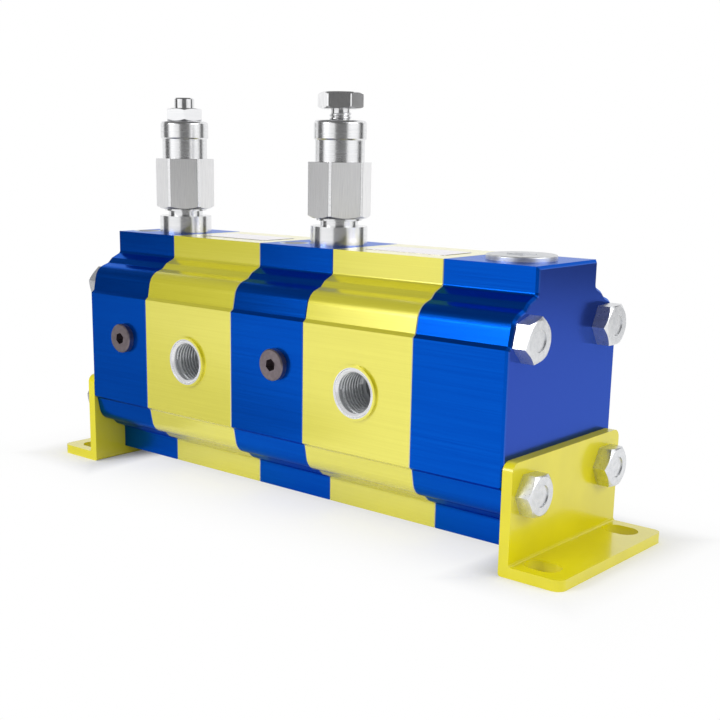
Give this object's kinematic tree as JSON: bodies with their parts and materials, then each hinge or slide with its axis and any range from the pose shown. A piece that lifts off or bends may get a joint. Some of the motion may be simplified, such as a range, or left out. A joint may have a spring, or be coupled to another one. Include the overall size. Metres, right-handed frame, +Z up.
{
  "type": "gear flow divider",
  "caption": "Gear flow divider block with relief valve cartridges on top, threaded side ports, through bolts and slotted angle feet.",
  "frame": {"origin": "on the surface the feet stand on, in the middle of the four foot slots", "axes": "+X along the block towards the end cover, +Y towards the back, away from the outlet ports, +Z up"},
  "size_m": [0.3016, 0.0856, 0.1832],
  "materials": {
    "blue_anodised": "satin blue anodised",
    "yellow_anodised": "satin yellow-green anodised",
    "yellow_paint": "gloss yellow",
    "zinc_plate": "bright zinc plate",
    "bright_plate": "bright plated and turned",
    "black_oxide": "blackened",
    "gear_steel": "ground",
    "bearing_alloy": "machined",
    "bush_bronze": "machined",
    "seal_rubber": "matt",
    "spring_steel": "drawn"
  },
  "bodies": {
    "housing": {"bearing_block_1_left": "bearing_alloy", "bearing_block_1_right": "bearing_alloy", "bearing_block_2_left": "bearing_alloy", "bearing_block_2_right": "bearing_alloy", "bolt_nuts": "zinc_plate", "bushes_1_left": "bush_bronze", "bushes_1_right": "bush_bronze", "bushes_2_left": "bush_bronze", "bushes_2_right": "bush_bronze", "end_cover": "blue_anodised", "front_plug_1": "black_oxide", "front_plug_2": "black_oxide", "gear_body_1": "yellow_anodised", "gear_body_2": "yellow_anodised", "left_bracket": "yellow_paint", "left_valve_plate": "blue_anodised", "middle_valve_plate": "blue_anodised", "relief_spring_1": "spring_steel", "relief_spring_2": "spring_steel", "right_bracket": "yellow_paint", "section_seal_1": "seal_rubber", "section_seal_2": "seal_rubber", "section_seal_3": "seal_rubber", "section_seal_4": "seal_rubber", "through_bolts": "zinc_plate", "top_plug": "zinc_plate", "valve_body_1": "bright_plate", "valve_body_2": "bright_plate", "valve_cap_1": "bright_plate", "valve_cap_2": "bright_plate", "valve_o_ring_1": "seal_rubber", "valve_o_ring_2": "seal_rubber"},
    "drive_gears": {"drive_gear_1": "gear_steel", "drive_gear_2": "gear_steel", "shaft_coupling": "gear_steel"},
    "idler_gear_1": {"idler_gear_1": "gear_steel"},
    "idler_gear_2": {"idler_gear_2": "gear_steel"},
    "locknut_1": {"locknut_1": "bright_plate"},
    "spring_seat_1": {"spring_seat_1": "gear_steel"},
    "screw_1": {"adjusting_screw_1": "bright_plate"},
    "poppet_1": {"relief_poppet_1": "gear_steel"},
    "spring_seat_2": {"spring_seat_2": "gear_steel"},
    "screw_2": {"adjusting_screw_2": "bright_plate"},
    "poppet_2": {"relief_poppet_2": "gear_steel"}
  },
  "joints": [
    {"name": "drive_spin", "type": "hinge", "parent": "housing", "child": "drive_gears", "pos_m": [0, 0, 0.044], "axis": [1, 0, 0], "continuous": true},
    {"name": "idler_1_spin", "type": "hinge", "parent": "housing", "child": "idler_gear_1", "pos_m": [0, 0, 0.078], "axis": [1, 0, 0], "continuous": true},
    {"name": "idler_2_spin", "type": "hinge", "parent": "housing", "child": "idler_gear_2", "pos_m": [0, 0, 0.078], "axis": [1, 0, 0], "continuous": true},
    {"name": "locknut_1_turn", "type": "hinge", "parent": "housing", "child": "locknut_1", "pos_m": [-0.09795, 0, 0.1743], "axis": [0, 0, 1], "range_deg": [0, 90]},
    {"name": "spring_seat_1_travel", "type": "slide", "parent": "housing", "child": "spring_seat_1", "axis": [0, 0, 1], "range_m": [-0.003, 0.003], "deforming": ["relief_spring_1"]},
    {"name": "screw_1_turn", "type": "hinge", "parent": "spring_seat_1", "child": "screw_1", "pos_m": [-0.09795, 0, 0.165], "axis": [0, 0, 1], "range_deg": [-720, 720]},
    {"name": "poppet_1_lift", "type": "slide", "parent": "housing", "child": "poppet_1", "axis": [0, 0, 1], "range_m": [0, 0.002], "stiffness_N_per_m": 20000, "deforming": ["relief_spring_1"]},
    {"name": "spring_seat_2_travel", "type": "slide", "parent": "housing", "child": "spring_seat_2", "axis": [0, 0, 1], "range_m": [-0.003, 0.003], "deforming": ["relief_spring_2"]},
    {"name": "screw_2_turn", "type": "hinge", "parent": "spring_seat_2", "child": "screw_2", "pos_m": [0.00455, 0, 0.165], "axis": [0, 0, 1], "range_deg": [-720, 720]},
    {"name": "poppet_2_lift", "type": "slide", "parent": "housing", "child": "poppet_2", "axis": [0, 0, 1], "range_m": [0, 0.002], "stiffness_N_per_m": 20000, "deforming": ["relief_spring_2"]}
  ],
  "couplings": [
    {"joint": "idler_1_spin", "follows": "drive_spin", "ratio": -1},
    {"joint": "idler_2_spin", "follows": "drive_spin", "ratio": -1},
    {"joint": "screw_1_turn", "follows": "spring_seat_1_travel", "rad_per_m": 4188.8},
    {"joint": "screw_2_turn", "follows": "spring_seat_2_travel", "rad_per_m": 4188.8}
  ]
}
